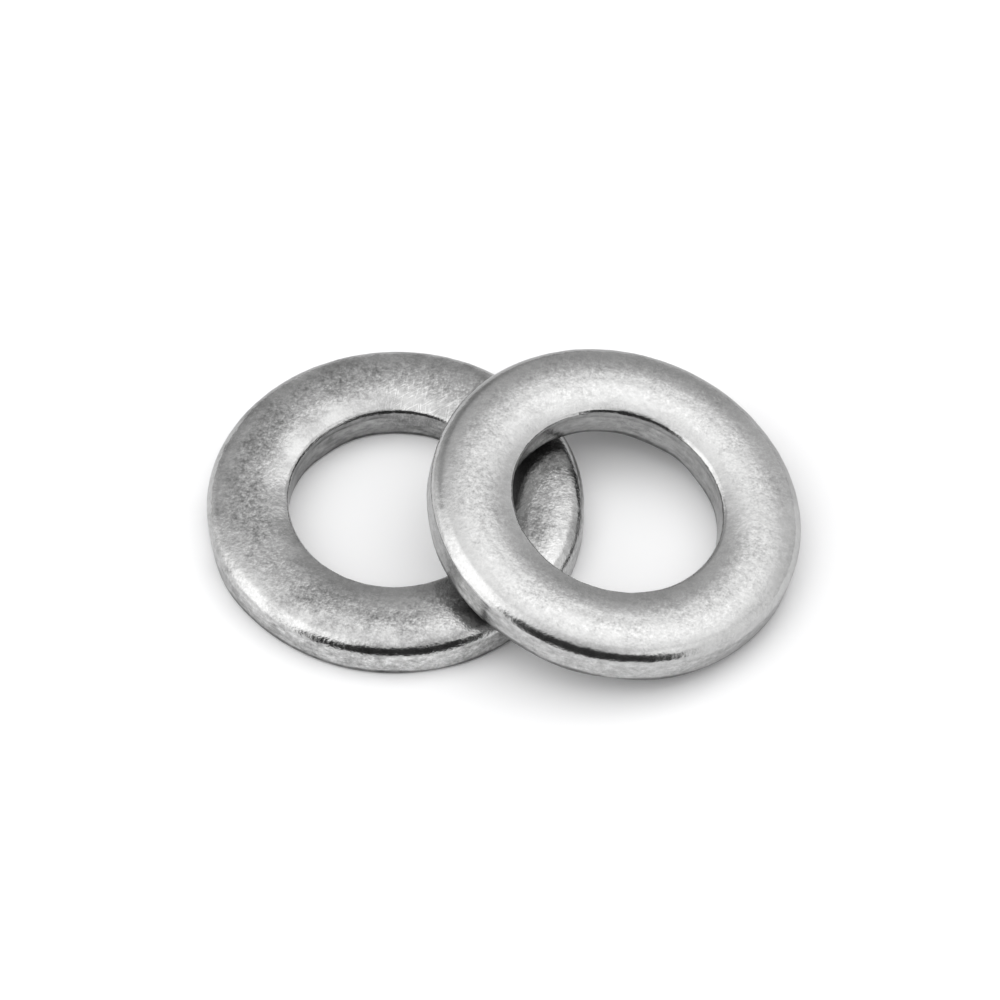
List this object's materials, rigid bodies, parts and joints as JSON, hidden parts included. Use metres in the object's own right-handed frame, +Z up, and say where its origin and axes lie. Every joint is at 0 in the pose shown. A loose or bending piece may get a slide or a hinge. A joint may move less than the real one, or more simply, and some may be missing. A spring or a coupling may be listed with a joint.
{
  "type": "pair of washers",
  "caption": "Plain round steel washers with rounded upper edges, the flat one carrying the raised rim of the other, to spread a bolt head's load.",
  "frame": {"origin": "bottom centre of the pair's bounding box, on the surface that both washers touch", "axes": "+X from the flat washer's centre towards the leaning washer's low edge, +Y across the pair, +Z up out of the surface"},
  "size_m": [0.0186, 0.0118, 0.0036],
  "materials": {
    "steel": "tumbled, fine matt grain with soft bright edges"
  },
  "bodies": {
    "root": {"flat_washer": "steel", "leaning_washer": "steel"}
  },
  "joints": []
}
